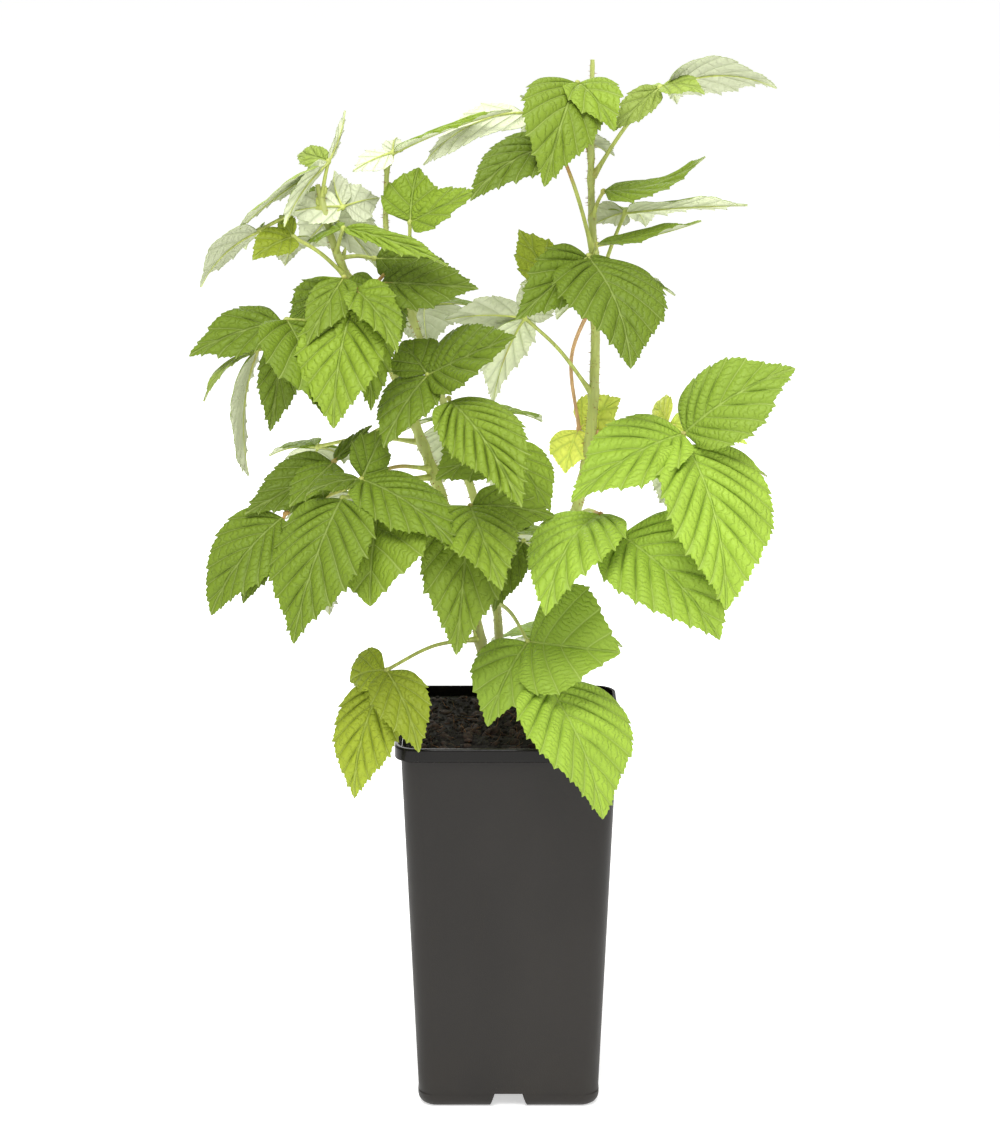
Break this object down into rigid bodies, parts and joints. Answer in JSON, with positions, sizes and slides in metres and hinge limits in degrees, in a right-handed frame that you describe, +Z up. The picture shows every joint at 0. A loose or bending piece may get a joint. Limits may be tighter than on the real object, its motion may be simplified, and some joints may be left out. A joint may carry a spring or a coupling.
{
  "type": "raspberry cane in a pot",
  "caption": "Leafy raspberry plant with slim upright canes and toothed compound leaves, in a tall square tapered nursery pot filled with compost.",
  "frame": {"origin": "centre of the pot's flat underside", "axes": "+Z up, the plant's fuller side faces -Y, +X to the right as seen from that side"},
  "size_m": [0.3145, 0.2321, 0.5606],
  "materials": {
    "pot": "satin dark grey nursery-pot plastic",
    "soil": "moist dark brown fibrous compost",
    "cane": "pale green, finely bristled young cane",
    "leaf_deep": "dark green pleated leaf",
    "leaf_mid": "mid green pleated leaf",
    "leaf_fresh": "fresh green pleated leaf",
    "leaf_lime": "young yellow-green leaf",
    "leaf_pale": "young leaf that shows its pale downy underside",
    "leaf_straw": "old yellowing leaf"
  },
  "bodies": {
    "root": {"pot": "pot", "soil": "soil", "cane_right": "cane", "cane_middle": "cane", "cane_left": "cane", "leaf_right_1": "leaf_mid", "leaf_right_2": "leaf_deep", "leaf_right_3": "leaf_pale", "leaf_right_4": "leaf_pale", "leaf_right_5": "leaf_mid", "leaf_right_6": "leaf_mid", "leaf_right_7": "leaf_deep", "leaf_right_8": "leaf_pale", "leaf_right_9": "leaf_lime", "leaf_right_10": "leaf_fresh", "leaf_right_11": "leaf_straw", "leaf_right_12": "leaf_straw", "leaf_right_13": "leaf_fresh", "leaf_right_14": "leaf_mid", "leaf_right_15": "leaf_mid", "leaf_right_16": "leaf_mid", "leaf_right_17": "leaf_fresh", "leaf_right_18": "leaf_mid", "leaf_right_19": "leaf_pale", "leaf_middle_1": "leaf_fresh", "leaf_middle_2": "leaf_mid", "leaf_middle_3": "leaf_mid", "leaf_middle_4": "leaf_deep", "leaf_middle_5": "leaf_deep", "leaf_middle_6": "leaf_mid", "leaf_middle_7": "leaf_lime", "leaf_middle_8": "leaf_deep", "leaf_middle_9": "leaf_mid", "leaf_middle_10": "leaf_mid", "leaf_middle_11": "leaf_mid", "leaf_left_1": "leaf_lime", "leaf_left_2": "leaf_lime", "leaf_left_3": "leaf_pale", "leaf_left_4": "leaf_pale", "leaf_left_5": "leaf_lime", "leaf_left_6": "leaf_mid", "leaf_left_7": "leaf_mid", "leaf_left_8": "leaf_deep", "leaf_left_9": "leaf_pale", "leaf_left_10": "leaf_deep", "leaf_left_11": "leaf_deep", "leaf_left_12": "leaf_deep", "leaf_left_13": "leaf_deep", "leaf_left_14": "leaf_mid", "leaf_left_15": "leaf_mid", "leaf_left_16": "leaf_pale", "leaf_left_17": "leaf_mid", "leaf_left_18": "leaf_deep", "leaf_left_19": "leaf_mid", "leaf_left_20": "leaf_deep", "leaf_left_21": "leaf_mid"}
  },
  "joints": []
}
